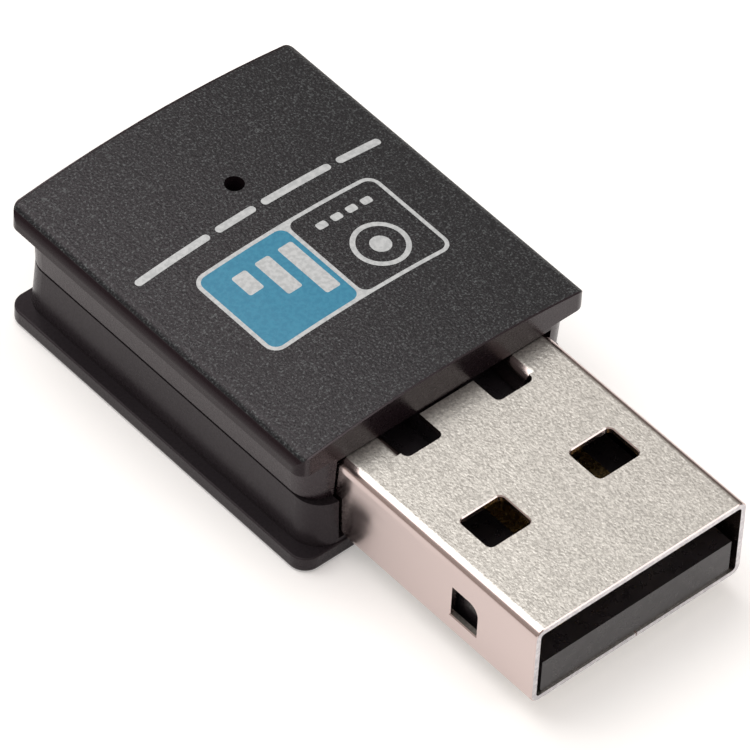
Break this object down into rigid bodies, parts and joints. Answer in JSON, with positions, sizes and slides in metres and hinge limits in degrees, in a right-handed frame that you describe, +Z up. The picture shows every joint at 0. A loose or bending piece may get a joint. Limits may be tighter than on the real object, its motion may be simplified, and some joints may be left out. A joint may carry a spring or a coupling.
{
  "type": "usb wifi adapter",
  "caption": "Small USB wifi adapter: two-shell black plastic housing with arched overhanging top, bottom flange and an uncapped metal USB-A plug.",
  "frame": {"origin": "middle of the overall footprint (plug included), on the flat underside of the housing", "axes": "+Z up through the arched top; the USB plug points along -Y; +X is to the right seen from the plug's end"},
  "size_m": [0.0164, 0.0318, 0.0074],
  "materials": {
    "housing_plastic_top": "moulded ABS, charcoal: fine spark-eroded grain on the top face, smooth satin sides",
    "housing_plastic_bottom": "moulded ABS, charcoal, smooth satin",
    "plug_metal": "nickel-plated steel sheet, fine mottled satin on the flats",
    "insulator_plastic": "moulded insulator, dark grey",
    "contact_metal": "gold-flashed copper alloy",
    "board_laminate": "glass-epoxy board with green solder mask",
    "board_copper": "copper foil under solder mask",
    "chip_mould": "black moulding compound",
    "crystal_ceramic": "ceramic package base",
    "crystal_metal": "plated metal lid",
    "light_base": "white package base",
    "light_lens": "clear cast resin, unlit",
    "inductor_ferrite": "grey ferrite",
    "capacitor_ceramic": "tan ceramic",
    "resistor_black": "black glaze",
    "matching_ceramic": "pale grey ceramic",
    "tinned_metal": "bright tin plate",
    "solder": "solder, satin"
  },
  "bodies": {
    "root": {"top_cover": "housing_plastic_top", "bottom_cover": "housing_plastic_bottom", "plug_shell": "plug_metal", "plug_insulator": "insulator_plastic", "contact_vbus": "contact_metal", "contact_data_minus": "contact_metal", "contact_data_plus": "contact_metal", "contact_ground": "contact_metal", "circuit_board": "board_laminate", "wifi_chip": "chip_mould", "wifi_chip_joints": "solder", "crystal_base": "crystal_ceramic", "crystal_lid": "crystal_metal", "status_light_base": "light_base", "status_light_lens": "light_lens", "power_inductor": "inductor_ferrite", "voltage_regulator": "chip_mould", "regulator_leads": "tinned_metal", "ceramic_capacitors": "capacitor_ceramic", "bulk_capacitors": "capacitor_ceramic", "resistors": "resistor_black", "antenna_matching_parts": "matching_ceramic", "ferrite_bead": "inductor_ferrite", "end_terminals": "tinned_metal", "printed_antenna_left": "board_copper", "printed_antenna_right": "board_copper", "shell_solder": "solder", "contact_solder": "solder"}
  },
  "joints": []
}
